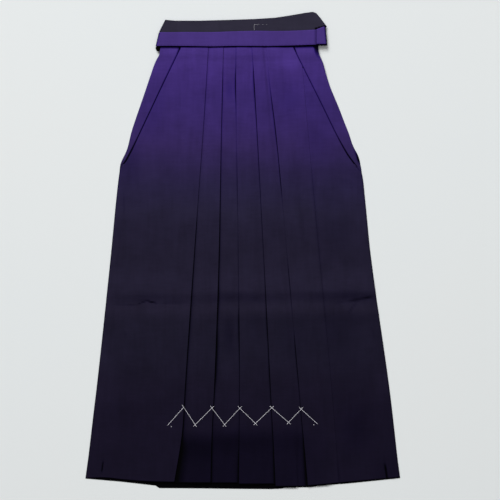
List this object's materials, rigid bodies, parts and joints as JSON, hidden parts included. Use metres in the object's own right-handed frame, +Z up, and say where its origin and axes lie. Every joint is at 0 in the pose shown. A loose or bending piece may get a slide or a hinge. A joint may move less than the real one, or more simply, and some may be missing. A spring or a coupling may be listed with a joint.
{
  "type": "hakama trousers",
  "caption": "Skirt-type hakama laid flat with its front up: pleated front, side slits, two waistbands and folded ties.",
  "frame": {"origin": "middle of the laid garment's outline, on the surface that it lies on", "axes": "+X to the right as the front is seen, +Y towards the waist, +Z up from the surface"},
  "size_m": [0.6537, 0.991, 0.0111],
  "materials": {
    "skirt_cloth": "matt plain weave, dyed from purple at the waist to near black at the hem",
    "band_cloth": "matt purple plain weave, pressed flat in several layers",
    "lining_cloth": "matt charcoal plain weave",
    "sewing_thread": "white cotton basting thread"
  },
  "bodies": {
    "root": {"back_skirt": "skirt_cloth", "front_skirt": "skirt_cloth", "front_side_panel_right": "skirt_cloth", "front_band": "band_cloth", "front_tie_left": "band_cloth", "front_tie_right": "band_cloth", "back_band": "lining_cloth", "back_tie_left": "band_cloth", "back_tie_right": "band_cloth"}
  },
  "joints": []
}
